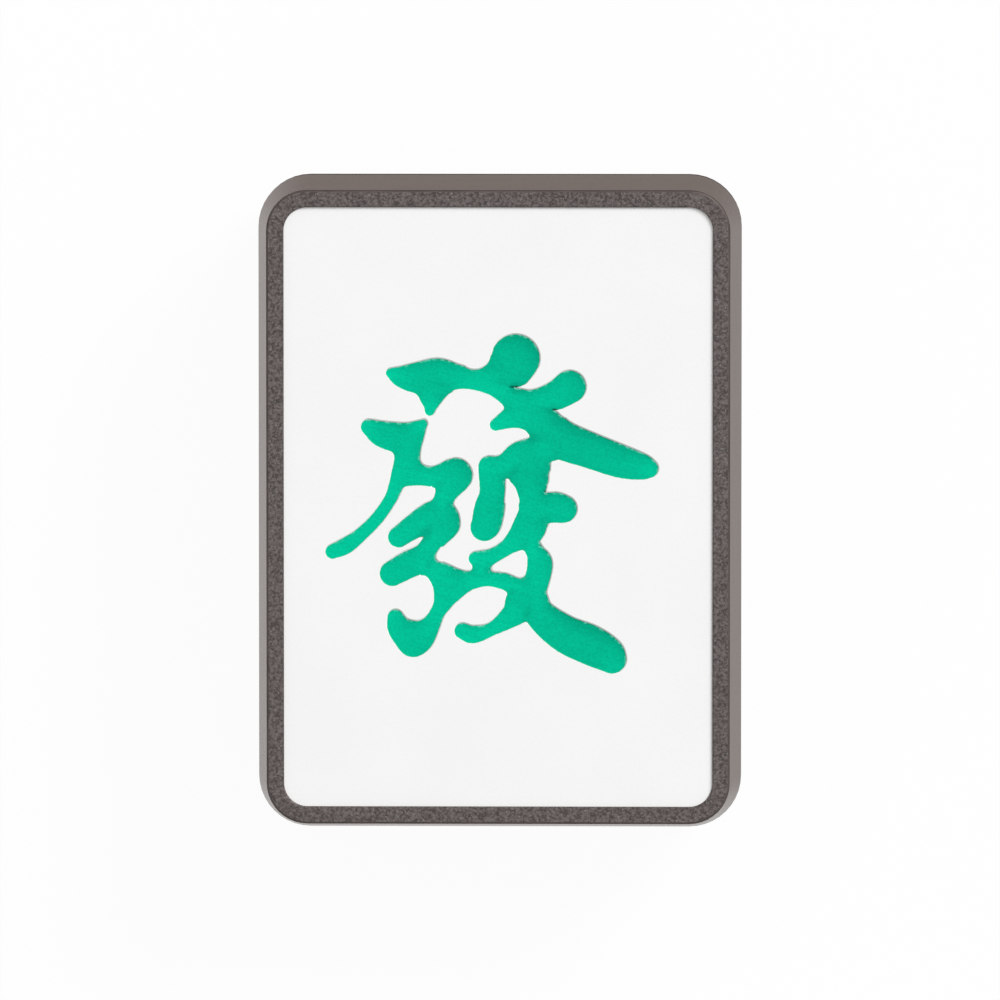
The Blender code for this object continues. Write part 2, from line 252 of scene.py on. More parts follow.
def length(name, description, default):
    return FloatProperty(
        name=name, description=description, default=default, min=0, unit="LENGTH", precision=6
    )


def angle(name, description, degrees):
    default = math.radians(degrees)
    return FloatProperty(name=name, description=description, default=default, subtype="ANGLE")


def colour(name, description, default):
    return FloatVectorProperty(
        name=name, description=description, default=default, size=3, min=0, max=1, subtype="COLOR"
    )


def level(name, description, default):
    return FloatProperty(name=name, description=description, default=default, min=0, max=1, subtype="FACTOR")


class TileMark(bpy.types.PropertyGroup):
    """How the mark is cut into the face plate."""

    cells: IntProperty(
        name="Cells", description="Cells along each side of the field before they are halved", default=112,
        min=50, max=150,
    )
    lip_width: length("Lip width", "Width of the steep wall round a stroke, seen from above", 0.06 * MM)
    lip_depth: length("Lip depth", "Depth at the foot of the wall", 0.08 * MM)
    dish: level("Dish", "How steeply the floor falls from the foot of the wall", 0.1)
    crease_depth: length("Crease depth", "How far the creases go below the floor", 0.08 * MM)
    blend: length("Blend", "How far strokes that meet run into each other", 0.14 * MM)


class TileFinishes(bpy.types.PropertyGroup):
    """Colours of the tile's finishes."""

    rim: colour("Rim", "Blasted metal of the rims", (0.114, 0.097, 0.094))
    rim_speck: colour("Rim specks", "Pale specks in the blasted rims", (0.2, 0.19, 0.19))
    side: colour("Sides", "Satin metal of the outer sides", (0.148, 0.115, 0.102))
    side_edge: colour("Sides at a glance", "Tint of sides and edges seen edge on", (0.435, 0.39, 0.372))
    # Dark edge colour: partly painted shade for the dark edge lines at the rim and the gap between the halves
    edge: colour("Edges", "Dull broken edges of the shells", (0.085, 0.071, 0.066))
    milled: colour("Milled metal", "Bare metal inside the shells", (0.2, 0.18, 0.17))
    resin: colour("Resin", "White plates", (0.942, 0.942, 0.938))
    enamel: colour("Enamel", "Paint in the carved mark", (0.0, 0.49, 0.284))
    enamel_stain: colour("Enamel stain", "Where the paint thins out along its edge", (0.3, 0.25, 0.16))
    # A painted highlight colour for thin pale lines along the paint's upper edges
    enamel_highlight: colour("Enamel beads", "Thicker paint along its edges", (0.2, 0.8, 0.6))
    track: colour("Track steel", "Brushed steel of the track plates", (0.5, 0.49, 0.47))
    nickel: colour("Nickel", "Plating of the magnets", (0.66, 0.63, 0.58))
    screw: colour("Screw steel", "Plain steel of the screws", (0.2, 0.2, 0.21))


class TileStage(bpy.types.PropertyGroup):
    """Camera, lamp, sky and floor."""

    camera_distance: length("Camera distance", "From the middle of the front rim to the camera", 0.75)
    picture_width: length("Picture width", "Width that the picture takes in at the rim", 64.1 * MM)
    lean_along: angle("Lean along", "How far the camera leans towards the tile's top end", 3.94)
    lean_across: angle("Lean across", "How far the camera leans towards the tile's right side", 1.17)
    shift_across: FloatProperty(
        name="Shift across", description="Sideways shift of the picture", default=0.00195, precision=5
    )
    shift_up: FloatProperty(
        name="Shift up", description="Upward shift of the picture", default=0.0077, precision=5
    )
    lamp_power: FloatProperty(
        name="Lamp power", description="Power of the soft lamp", default=77, min=0, unit="POWER"
    )
    lamp_size: length("Lamp size", "Side of the soft lamp", 1.2)
    lamp_place: FloatVectorProperty(
        name="Lamp place", description="Where the soft lamp hangs", default=(1.74, 1.74, 1.72),
        subtype="TRANSLATION",
    )
    sky: level("Sky", "Brightness of the white surround as a light", 0.5)
    floor: colour("Floor", "Pale floor", (0.9, 0.9, 0.9))
    floor_white: level("Floor white", "How far the seen floor is lifted to white", 0.95)


class Wire:
    """A value from a node. Arithmetic on it adds Math nodes to its tree."""

    def __init__(self, nodes, socket):
        self.nodes = nodes
        self.socket = socket

    def __add__(self, other):
        return self.nodes.math("ADD", self, other)

    def __radd__(self, other):
        return self.nodes.math("ADD", other, self)

    def __sub__(self, other):
        return self.nodes.math("SUBTRACT", self, other)

    def __rsub__(self, other):
        return self.nodes.math("SUBTRACT", other, self)

    def __mul__(self, other):
        return self.nodes.math("MULTIPLY", self, other)

    def __rmul__(self, other):
        return self.nodes.math("MULTIPLY", other, self)


class Nodes:
    """A node tree, with one method that adds any node."""

    def __init__(self, tree):
        self.tree = tree

    def add(self, kind, inputs=None, output=0, **settings):
        """A new node's output. Settings are set first, then the values or wires of its sockets."""
        made = self.tree.nodes.new("ShaderNode" + kind)
        for name, value in settings.items():
            setattr(made, name, value)
        for name, value in (inputs or {}).items():
            self.feed(made.inputs[name], value)
        return Wire(self, made.outputs[output]) if made.outputs else made

    def feed(self, socket, value):
        if isinstance(value, Wire):
            self.tree.links.new(value.socket, socket)
        else:
            socket.default_value = value

    def math(self, operation, first, second):
        return self.add("Math", {0: first, 1: second}, operation=operation)

    def mixed(self, share, first, second):
        """A colour between two colours, the second where the share is 1."""
        inputs = {MIX_SHARE: share}
        for socket, value in ((MIX_FIRST, first), (MIX_SECOND, second)):
            inputs[socket] = value if isinstance(value, Wire) else (*value, 1)
        return self.add("Mix", inputs, output=MIX_RESULT, data_type="RGBA")


class Finish(Nodes):
    """A material with one Principled shader, patterned on the piece's own place in millimetres."""

    def __init__(self, name, **constants):
        self.material = bpy.data.materials.new(name)
        self.material.use_nodes = True
        super().__init__(self.material.node_tree)
        self.shader = self.tree.nodes["Principled BSDF"]
        self.set(**constants)
        place = self.add("TexCoord", output="Object")
        self.place = self.add("VectorMath", {0: place, "Scale": 1 / MM}, operation="SCALE")

    def grain(self, size, detail=2.0, turn=0.0):
        """Noise whose grains have a size in millimetres, along X, Y and Z, turned about Z."""
        across = self.add(
            "Mapping", {"Vector": self.place, "Rotation": (0, 0, turn), "Scale": size}, vector_type="TEXTURE"
        )
        return self.add("TexNoise", {"Vector": across, "Scale": 1.0, "Detail": detail})

    def steps(self, value, low, high):
        """0 below the low value, 1 above the high one, and smooth between."""
        return self.add(
            "MapRange", {"Value": value, "From Min": low, "From Max": high}, interpolation_type="SMOOTHSTEP"
        )

    def varied(self, share, shade, dark, pale):
        """A colour that goes from a darker to a paler tint of a shade."""
        return self.mixed(share, tinted(shade, dark), tinted(shade, pale))

    def set(self, **values):
        """Sets or links the shader's sockets, named with _ for a space."""
        for socket, value in values.items():
            self.feed(self.shader.inputs[socket.replace("_", " ")], value)

    def bump(self, height, depth):
        """Relief of a given depth in millimetres on the shader's normal."""
        self.set(Normal=self.add("Bump", {"Height": height, "Distance": depth * MM}))


def tinted(shade, factor):
    return tuple(min(channel * factor, 1.0) for channel in shade)


def blasted_rim(finishes):
    """Bead-blasted metal: fine dents with dark and pale specks."""
    finish = Finish("blasted_rim", Metallic=1.0)
    dents = finish.grain((0.16, 0.16, 0.16), 3.0)
    specks = finish.grain((0.12, 0.12, 0.12), 1.0)
    shade = finish.varied(finish.steps(dents, 0.32, 0.68), finishes.rim, 0.58, 1.36)
    pale = finish.steps(specks, 0.6, 0.75)
    finish.set(Base_Color=finish.mixed(pale, shade, finishes.rim_speck))
    finish.set(Roughness=0.42 + 0.2 * dents)
    finish.bump(dents, 0.016)
    return finish.material


def satin_side(finishes):
    """Satin metal with fine lines that run round the tile."""
    finish = Finish("satin_side", Metallic=1.0, Specular_Tint=(*finishes.side_edge, 1))
    lines = finish.grain((6.0, 6.0, 0.05), 3.0)
    cloud = finish.grain((3.0, 3.0, 1.5), 2.0)
    mottle = finish.grain((0.3, 0.3, 0.2), 2.0)
    share = finish.steps(0.4 * lines + 0.2 * cloud + 0.4 * mottle, 0.35, 0.65)
    finish.set(Base_Color=finish.varied(share, finishes.side, 0.82, 1.18))
    finish.set(Roughness=0.13 + 0.1 * lines)
    finish.bump(lines, 0.002)
    return finish.material


def dull_edge_and_shade(finishes):
    """Dull dark metal where the shells' edges are broken, its darkness also painted shade for the dark line
    along the rim's outer edge and at the gap between the halves.
    """
    finish = Finish("dull_edge_and_shade", Metallic=1.0, Specular_Tint=(*finishes.side_edge, 1))
    wear = finish.grain((1.5, 1.5, 0.3), 3.0)
    share = finish.steps(wear, 0.3, 0.7)
    finish.set(Base_Color=finish.varied(share, finishes.edge, 0.85, 1.15))
    finish.set(Roughness=0.5 + 0.12 * wear)
    return finish.material


def milled_inside(finishes):
    """Bare milled metal with the cutter's close rows."""
    finish = Finish("milled_inside", Metallic=1.0)
    rows = finish.grain((8.0, 0.09, 0.09), 2.0)
    share = finish.steps(rows, 0.3, 0.7)
    finish.set(Base_Color=finish.varied(share, finishes.milled, 0.8, 1.2))
    finish.set(Roughness=0.34 + 0.16 * rows)
    finish.bump(rows, 0.003)
    return finish.material


def white_resin(finishes):
    """Matte white resin with a very fine grain."""
    finish = Finish("white_resin", Specular_IOR_Level=0.2)
    fine = finish.grain((0.2, 0.2, 0.2), 3.0)
    cloud = finish.grain((6.0, 6.0, 6.0), 2.0)
    share = finish.steps(0.5 * fine + 0.5 * cloud, 0.3, 0.7)
    finish.set(Base_Color=finish.varied(share, finishes.resin, 0.985, 1.012))
    finish.set(Roughness=0.58 + 0.1 * fine)
    finish.bump(fine, 0.001)
    return finish.material


def carved_enamel(finishes):
    """Green paint in the carving, with a ragged edge that leaves the upper walls bare.

    Its colour carries painted shade and light: pale where strokes are thin, dark along the walls and where
    strokes crowd together, and almost black in creases.
    """
    finish = Finish("carved_enamel", Specular_IOR_Level=0.03)
    layers = [finish.add("Attribute", output="Fac", attribute_name=name) for name in MARK_LAYERS]
    bare, painted_shading, painted_highlight = layers
    ragged = finish.grain((0.3, 0.3, 0.3), 2.0)
    edge = bare + PAINT_RAGGED * (ragged - 0.5)
    painted = 1 - finish.steps(edge, PAINT_EDGE - PAINT_FADE, PAINT_EDGE + PAINT_FADE)
    lines = finish.grain((2.5, 0.16, 1.0), 2.0, math.radians(-15))
    fine = finish.grain((0.14, 0.14, 0.14), 2.0)
    share = finish.steps(0.3 * lines + 0.7 * fine, 0.3, 0.7)
    paint = finish.varied(share, finishes.enamel, 0.9, 1.1)
    # Painted shade and light: the paint's colour is scaled by the shading kept on the vertices
    paint = finish.add("VectorMath", {0: paint, "Scale": painted_shading}, operation="SCALE")
    # Painted highlights: pale lines just inside the upper walls
    paint = finish.mixed(painted_highlight * finish.steps(ragged, 0.5, 0.6), paint, finishes.enamel_highlight)
    stain = finish.steps(edge, PAINT_EDGE - STAIN_WIDTH, PAINT_EDGE)
    paint = finish.mixed(STAIN_SHARE * stain, paint, finishes.enamel_stain)
    finish.set(Base_Color=finish.mixed(painted, finishes.resin, paint))
    finish.set(Roughness=0.4 + 0.12 * fine)
    finish.bump(fine, 0.002)
    return finish.material


def brushed_track(finishes):
    """Steel brushed along the slide, with brighter rubbed streaks."""
    finish = Finish("brushed_track", Metallic=1.0)
    lines = finish.grain((0.06, 14.0, 4.0), 3.0)
    rubbed = finish.grain((1.4, 20.0, 4.0), 1.0)
    share = finish.steps(0.7 * lines + 0.3 * rubbed, 0.3, 0.7)
    finish.set(Base_Color=finish.varied(share, finishes.track, 0.82, 1.15))
    finish.set(Roughness=0.2 + 0.16 * lines + 0.06 * rubbed)
    finish.bump(lines, 0.003)
    return finish.material


def bright_nickel(finishes):
    """Bright plating with faint scuffs."""
    finish = Finish("bright_nickel", Metallic=1.0)
    scuffs = finish.grain((0.8, 0.1, 0.8), 3.0, math.radians(35))
    share = finish.steps(scuffs, 0.35, 0.7)
    finish.set(Base_Color=finish.varied(share, finishes.nickel, 0.94, 1.05))
    finish.set(Roughness=0.12 + 0.14 * scuffs)
    return finish.material


def plain_screw(finishes):
    """Plain dark steel with a thin film of oil."""
    finish = Finish("plain_screw", Metallic=1.0)
    film = finish.grain((0.5, 0.5, 0.5), 3.0)
    share = finish.steps(film, 0.35, 0.7)
    finish.set(Base_Color=finish.varied(share, finishes.screw, 0.8, 1.15))
    finish.set(Roughness=0.28 + 0.16 * film)
    return finish.material


def soften(bm):
    """Smooth shading, with crisp edges where faces meet at an angle or the finish changes."""
    for face in bm.faces:
        face.smooth = True
    for edge in bm.edges:
        slots = {face.material_index for face in edge.link_faces}
        edge.smooth = len(slots) == 1 and edge.calc_face_angle(0) < CRISP_ANGLE


def merged_node(node):
    """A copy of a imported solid's shape with its loose triangles joined."""
    bm = bmesh.new()
    bm.from_mesh(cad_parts[node].data)
    bmesh.ops.remove_doubles(bm, verts=bm.verts, dist=MERGE_DISTANCE)
    for face in bm.faces:
        face.material_index = 0
    return bm


def add_piece(bm, name, node, half, materials):
    """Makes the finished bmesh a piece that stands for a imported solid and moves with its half."""
    soften(bm)
    mesh = bpy.data.meshes.new(name)
    bm.to_mesh(mesh)
    bm.free()
    for material in materials:
        mesh.materials.append(material)
    piece = bpy.data.objects.new(name, mesh)
    bpy.context.scene.collection.objects.link(piece)
    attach(piece, half + "_half")
    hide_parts(node)
    return piece


def dress_shell_faces(bm, half):
    """Gives a shell's faces the blasted, satin, milled or dull finish, by where they lie. The dull finish on
    the rim's edge break and the parting land is partly painted shade.
    """
    low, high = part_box(half + "_shell")
    up = 1 if half == "front" else -1
    rim_height = high.z if half == "front" else low.z
    foot_height = low.z if half == "front" else high.z
    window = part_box("face_plate")[1]
    for face in bm.faces:
        middle = face.calc_center_median()
        facing = face.normal.z * up
        outside = (
            abs(middle.x) > window.x + OUTSIDE_MARGIN or abs(middle.y) > window.y + OUTSIDE_MARGIN
        )
        outward = outside and face.normal.xy.dot(middle.xy) > 0
        # The rim's edge break and the parting land get the dull finish, whose darkness is partly painted
        # shade
        if abs(middle.z - rim_height) < RIM_BAND and facing > RIM_FACING:
            face.material_index = DULL_AND_SHADE if outward and facing < FLAT_FACING else BLASTED
        elif outward and abs(middle.z - foot_height) < LAND_BAND:
            face.material_index = DULL_AND_SHADE
        elif outward and abs(facing) < FLAT_FACING:
            face.material_index = SATIN
        else:
            face.material_index = MILLED


def break_edges(bm, edges, width, segments):
    bmesh.ops.bevel(
        bm, geom=list(edges), offset=width, segments=segments, profile=0.5, affect="EDGES", material=-1
    )


def plate_blank(low, high):
    """A plate between two corners, its upright edges rounded and its top edge broken."""
    size = high - low + Vector((2 * PLATE_FILL, 2 * PLATE_FILL, 0))
    place = Matrix.Translation((low + high) / 2) @ Matrix.Diagonal((*size, 1))
    bm = bmesh.new()
    bmesh.ops.create_cube(bm, size=1, matrix=place)
    upright = [edge for edge in bm.edges if abs(edge.verts[0].co.z - edge.verts[1].co.z) > size.z / 2]
    break_edges(bm, upright, PLATE_CORNER_RADIUS, PLATE_CORNER_SEGMENTS)
    break_edges(bm, top_face(bm).edges, PLATE_EDGE_BREAK, 1)
    return bm


def top_face(bm):
    return max(bm.faces, key=lambda face: face.calc_center_median().z)


def face_at(bm, point):
    """The upward face of the plate's top that a point lies in."""
    upward = [face for face in bm.faces if face.normal.z > FLAT_FACING]
    tops = [face for face in upward if abs(face.verts[0].co.z - point.z) < MERGE_DISTANCE]
    return next(face for face in tops if bmesh.geometry.intersect_face_point(face, point))


def in_field(point, middle):
    """Whether a point of the plate's top lies in the mark's field."""
    place = point.xy - middle.xy
    across = FIELD_LOW.x - MERGE_DISTANCE < place.x < FIELD_HIGH.x + MERGE_DISTANCE
    along = FIELD_LOW.y - MERGE_DISTANCE < place.y < FIELD_HIGH.y + MERGE_DISTANCE
    return abs(point.z - middle.z) < MERGE_DISTANCE and across and along


def cut_field(bm, middle, cells):
    """Cuts the mark's field out of the plate's top and divides it into even cells."""
    low = middle.xy + FIELD_LOW
    high = middle.xy + FIELD_HIGH
    inside = Vector((*((low + high) / 2), middle.z))
    for point, normal in ((low, (1, 0, 0)), (high, (1, 0, 0)), (low, (0, 1, 0)), (high, (0, 1, 0))):
        face = face_at(bm, inside)
        geometry = [face, *face.edges, *face.verts]
        bmesh.ops.bisect_plane(
            bm, geom=geometry, dist=MERGE_DISTANCE, plane_co=(*point, middle.z), plane_no=normal
        )
    field = face_at(bm, inside)
    bmesh.ops.subdivide_edges(bm, edges=list(field.edges), cuts=cells - 1, use_grid_fill=True)


def halve_cells(bm, middle, mark):
    """Halves the field's cells in and near the mark, then once more along its edge."""
    for inside, outside in CELL_REACHES:
        faces = [face for face in bm.faces if in_field(face.calc_center_median(), middle)]
        gaps = mark.gap(np.array([face.calc_center_median().xy for face in faces]))[0]
        near = [face for face, gap in zip(faces, gaps) if -inside < gap < outside]
        edges = dict.fromkeys(edge for face in near for edge in face.edges)
        bmesh.ops.subdivide_edges(bm, edges=list(edges), cuts=1, use_grid_fill=True)


def smooth_line(points, middle):
    """Rows of x, y and half-width along a smooth line through a stroke's points, in metres."""
    rows = np.array(points) * MM + np.array((middle.x, middle.y, 0))
    rows = np.vstack((2 * rows[0] - rows[1], rows, 2 * rows[-1] - rows[-2]))
    share = np.linspace(0, 1, LINE_STEPS, endpoint=False)[:, None]
    runs = []
    for before, start, end, after in zip(rows, rows[1:], rows[2:], rows[3:]):
        bend = 2 * before - 5 * start + 4 * end - after
        twist = 3 * start - before - 3 * end + after
        runs.append(start + share / 2 * (end - before + share * (bend + share * twist)))
    return np.vstack((*runs, rows[-2:-1]))


def eased(values, low, high):
    """0 below the low value, 1 above the high one, and smooth between."""
    share = np.clip((values - low) / (high - low), 0, 1)
    return share ** 2 * (3 - 2 * share)


def line_gap(places, line):
    """Distance of each place from a stroke's edge, negative inside it, and the stroke's half-width there."""
    gap = np.full(len(places), np.inf)
    half = np.zeros(len(places))
    for start, end in zip(line, line[1:]):
        run = end[:2] - start[:2]
        share = np.clip((places - start[:2]) @ run / max(run @ run, LEAST_RUN), 0, 1)
        radius = start[2] + share * (end[2] - start[2])
        distance = np.linalg.norm(places - start[:2] - share[:, None] * run, axis=1) - radius
        nearer = distance < gap
        gap[nearer] = distance[nearer]
        half[nearer] = radius[nearer]
    return gap, half


def spread_gap(places, lines, blend):
    """Distance of each place from the edge of lines that run into each other, and their half-width there."""
    weight = np.full(len(places), LEAST_WEIGHT)
    breadth = np.zeros(len(places))
    for line in lines:
        low = line[:, :2].min(axis=0) - STROKE_REACH
        high = line[:, :2].max(axis=0) + STROKE_REACH
        near = np.all((places > low) & (places < high), axis=1)
        gap, half = line_gap(places[near], line)
        share = np.exp(-gap / blend)
        weight[near] += share
        breadth[near] += share * half
    return -blend * np.log(weight), breadth / weight


class Mark:
    """The mark's strokes, spurs and creases as smooth lines round the middle of the plate."""

    def __init__(self, middle, blend):
        self.blend = blend
        middle = middle.xy + MARK_OFFSET
        self.strokes, self.spurs, self.creases = (
            [smooth_line(points, middle) for points in lines.values()]
            for lines in (MARK_LINES, MARK_SPURS, MARK_CREASES)
        )

    def gap(self, places):
        """Distance of each place from the mark's edge, negative inside it, and the stroke's half-width."""
        gap, breadth = spread_gap(places, self.strokes, self.blend)
        for spur in self.spurs:
            gap = np.maximum(gap, -line_gap(places, spur)[0])
        return gap, breadth

    def slope(self, places):
        """How the distance grows across and along the tile."""
        steps = (np.array((SLOPE_STEP, 0)), np.array((0, SLOPE_STEP)))
        grown = [self.gap(places + step)[0] - self.gap(places - step)[0] for step in steps]
        return np.stack(grown, axis=1) / (2 * SLOPE_STEP)

    def moved_to(self, places, target, limit):
        """Places moved straight towards the line where the distance has a given value, within a limit."""
        start = places
        for _ in range(SNAP_STEPS):
            slope = self.slope(places)
            steepness = np.maximum((slope ** 2).sum(axis=1), LEAST_SLOPE)
            places = places - slope * ((self.gap(places)[0] - target) / steepness)[:, None]
        move = places - start
        far = np.maximum(np.linalg.norm(move, axis=1) / limit, 1)
        return start + move / far[:, None]

    def crowd(self, places, gap):
        """How much more of the mark lies round each place than at the same depth beside a straight edge."""
        turns = np.linspace(0, 2 * math.pi, CROWD_PLACES, endpoint=False)
        ring = CROWD_REACH * np.stack((np.cos(turns), np.sin(turns)), axis=1)
        around = np.stack([self.gap(places + step)[0] for step in ring])
        straight = gap + ring[:, :1]
        held, plain = (np.clip(0.5 - away / CROWD_EDGE, 0, 1).mean(axis=0) for away in (around, straight))
        return held - plain

    def crease(self, places):
        """1 along the middle of a crease, falling to 0 at its sides."""
        share = np.zeros(len(places))
        for line in self.creases:
            gap, half = line_gap(places, line)
            share = np.maximum(share, np.clip(-gap / half, 0, 1))
        return share


def field_rings(mark, places, gap, lip_width, cell):
    """The ring of each place, by how far inside the top of the wall it lies."""
    steepness = np.ones(len(places))
    near = np.abs(gap) < SLOPE_REACH * cell
    steepness[near] = np.maximum(np.linalg.norm(mark.slope(places[near]), axis=1), LEAST_SLOPE)
    reach = (gap - lip_width) / steepness
    rings = np.full(len(places), OUTSIDE)
    rings[reach < EDGE_REACH * cell] = EDGE
    rings[reach < -EDGE_REACH * cell] = LIP
    rings[reach < -FLOOR_REACH * cell] = FLOOR
    return rings


def paint_values(mark, places, breadth, inward, crease, lip_width):
    """Values of the mark's layers: distance from the paint's edge in millimetres, painted shading and painted
    highlights.
    """
    gap = mark.gap(places)[0]
    bare = mark.gap(places - PAINT_OFFSET)[0]
    shift = np.linalg.norm(PAINT_OFFSET)
    inside = gap < lip_width
    crowd, upward = np.zeros((2, len(places)))
    crowd[inside] = mark.crowd(places[inside], gap[inside])
    upward[inside] = mark.slope(places[inside]) @ -PAINT_OFFSET / shift
    thin = np.clip((BROAD_HALF - breadth) / (BROAD_HALF - THIN_HALF), 0, 1)
    # Painted shade along the walls, strongest under the upper walls that face away from the lamp
    shade = (1 - inward) * (WALL_SHADE + UPPER_SHADE * np.clip(upward, 0, 1))
    painted_shading = (1 + (THIN_PAINTED_LIGHT - 1) * thin) * (1 - shade * (1 + (THIN_SHADE - 1) * thin))
    # Painted shade where strokes crowd and in creases
    painted_shading = painted_shading * (1 + (CROWD_PAINTED_SHADE - 1) * eased(crowd, *CROWD_RANGE))
    painted_shading = painted_shading * (1 + (CREASE_PAINTED_SHADE - 1) * eased(crease, *CREASE_RANGE))
    # Painted highlights along the paint just inside the upper walls
    upper = np.clip((bare - gap) / shift, 0, 1)
    painted_highlight = upper * np.clip(1 - np.abs(gap + HIGHLIGHT_PLACE) / HIGHLIGHT_WIDTH, 0, 1)
    return bare / MM, painted_shading, painted_highlight


def carve_mark(bm, mark, middle, settings):
    """Sinks the mark into the field: a steep wall round each stroke, then a shallow dished floor.

    Keeps what the paint goes by in the mark's layers. Gives the ring of each vertex.
    """
    verts = [vert for vert in bm.verts if in_field(vert.co, middle)]
    cell = (FIELD_HIGH.x - FIELD_LOW.x) / settings.cells / 2 ** len(CELL_REACHES)
    places = np.array([vert.co.xy for vert in verts])
    gap, breadth = mark.gap(places)
    rings = field_rings(mark, places, gap, settings.lip_width, cell)
    for ring, target in ((EDGE, settings.lip_width), (LIP, 0)):
        places[rings == ring] = mark.moved_to(places[rings == ring], target, SNAP_LIMIT * cell)
    inward = 1 - (1 - np.clip(-gap / np.maximum(breadth, settings.blend), 0, 1)) ** 2
    crease = mark.crease(places)
    floor = settings.lip_depth + settings.dish * breadth * inward / 2 + settings.crease_depth * crease
    depth = np.select([rings == LIP, rings == FLOOR], [settings.lip_depth, floor], 0)
    for vert, place, sink in zip(verts, places, depth):
        vert.co = (*place, middle.z - sink)
    painted = paint_values(mark, places, breadth, inward, crease, settings.lip_width)
    for name, values in zip(MARK_LAYERS, painted):
        layer = bm.verts.layers.float[name]
        for vert, value in zip(verts, values):
            vert[layer] = value
    return dict(zip(verts, rings))


def ring_split(ring_of, face):
    """The two corners of a cell that a split should join: along a ring, or away from three corners on one."""
    one, two, three, four = face.verts
    for start, end, left, right in ((one, three, two, four), (two, four, three, one)):
        ends = (ring_of[start], ring_of[end])
        sides = (ring_of[left], ring_of[right])
        same_ends = ends[0] == ends[1] and sides[0] != sides[1]
        if same_ends and ends[0] in (EDGE, LIP) and ends[0] not in sides:
            return start, end
        same_sides = sides[0] == sides[1] and ends[0] != ends[1]
        if same_sides and sides[0] in (EDGE, LIP) and sides[0] in ends:
            return start, end
    return None


def follow_rings(bm, ring_of):
    """Splits the cells that a ring crosses along the ring, and gives the carved faces the second finish."""
    fours = [face for face in bm.faces if len(face.verts) == 4]
    for face in [face for face in fours if all(vert in ring_of for vert in face.verts)]:
        corners = ring_split(ring_of, face)
        if corners:
            bmesh.utils.face_split(face, *corners)
    for face in bm.faces:
        rings = [ring_of.get(vert, OUTSIDE) for vert in face.verts]
        face.material_index = int(min(rings) >= EDGE and max(rings) >= LIP)


class TILE_OT_shells(bpy.types.Operator):
    """Dress both shells: blasted rims, satin sides, milled insides and dull edges darkened as painted shade
    """

    bl_idname = "tile.shells"
    bl_label = "Shells"

    def execute(self, context):
        finishes = context.scene.tile_finishes
        makers = (blasted_rim, satin_side, milled_inside, dull_edge_and_shade)
        materials = [make(finishes) for make in makers]
        for half in HALVES:
            node = half + "_shell"
            bm = merged_node(node)
            dress_shell_faces(bm, half)
            add_piece(bm, "dressed_" + node, node, half, materials)
        return {"FINISHED"}


class TILE_OT_face_plate(bpy.types.Operator):
    """Carve the mark into the white face plate and paint it"""

    bl_idname = "tile.face_plate"
    bl_label = "Carved face plate"

    def execute(self, context):
        finishes = context.scene.tile_finishes
        settings = context.scene.tile_mark
        low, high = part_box("face_plate")
        middle = Vector(((low.x + high.x) / 2, (low.y + high.y) / 2, high.z))
        mark = Mark(middle, settings.blend)
        bm = plate_blank(low, high)
        for name in MARK_LAYERS:
            bm.verts.layers.float.new(name)
        cut_field(bm, middle, settings.cells)
        corners = sum(in_field(vert.co, middle) for vert in bm.verts)
        if corners != (settings.cells + 1) ** 2:
            raise RuntimeError(f"the mark's field has {corners} vertices")
        halve_cells(bm, middle, mark)
        follow_rings(bm, carve_mark(bm, mark, middle, settings))
        materials = [white_resin(finishes), carved_enamel(finishes)]
        add_piece(bm, "carved_face_plate", "face_plate", "front", materials)
        return {"FINISHED"}


class TILE_OT_back_plate(bpy.types.Operator):
    """Dress the plain white plate in the back"""

    bl_idname = "tile.back_plate"
    bl_label = "Back plate"

    def execute(self, context):
        materials = [white_resin(context.scene.tile_finishes)]
        bm = merged_node("back_plate")
        add_piece(bm, "plain_back_plate", "back_plate", "rear", materials)
        return {"FINISHED"}


class TILE_OT_track_plates(bpy.types.Operator):
    """Dress the two steel plates that slide on each other"""

    bl_idname = "tile.track_plates"
    bl_label = "Track plates"

    def execute(self, context):
        materials = [brushed_track(context.scene.tile_finishes)]
        for half in HALVES:
            node = half + "_track_plate"
            add_piece(merged_node(node), "dressed_" + node, node, half, materials)
        return {"FINISHED"}


class TILE_OT_magnets(bpy.types.Operator):
    """Dress the disc magnets in both halves"""

    bl_idname = "tile.magnets"
    bl_label = "Magnets"

    def execute(self, context):
        materials = [bright_nickel(context.scene.tile_finishes)]
        for half in HALVES:
            for number in range(1, MAGNETS_IN_HALF + 1):
                node = f"{half}_magnet_{number}"
                add_piece(merged_node(node), "dressed_" + node, node, half, materials)
        return {"FINISHED"}


class TILE_OT_screws(bpy.types.Operator):
    """Dress the socket screws of both track plates"""

    bl_idname = "tile.screws"
    bl_label = "Screws"

    def execute(self, context):
        materials = [plain_screw(context.scene.tile_finishes)]
        for half in HALVES:
            for number in range(1, SCREWS_IN_HALF + 1):
                node = f"{half}_screw_{number}"
                add_piece(merged_node(node), "dressed_" + node, node, half, materials)
        return {"FINISHED"}


def seen_share(nodes):
    """1 for rays that show the surround: straight to the camera, by reflection or through glass."""
    rays = ("Is Camera Ray", "Is Glossy Ray", "Is Transmission Ray")
    camera, glossy, glass = (nodes.add("LightPath", output=ray) for ray in rays)
    return nodes.math("MAXIMUM", camera, nodes.math("MAXIMUM", glossy, glass))


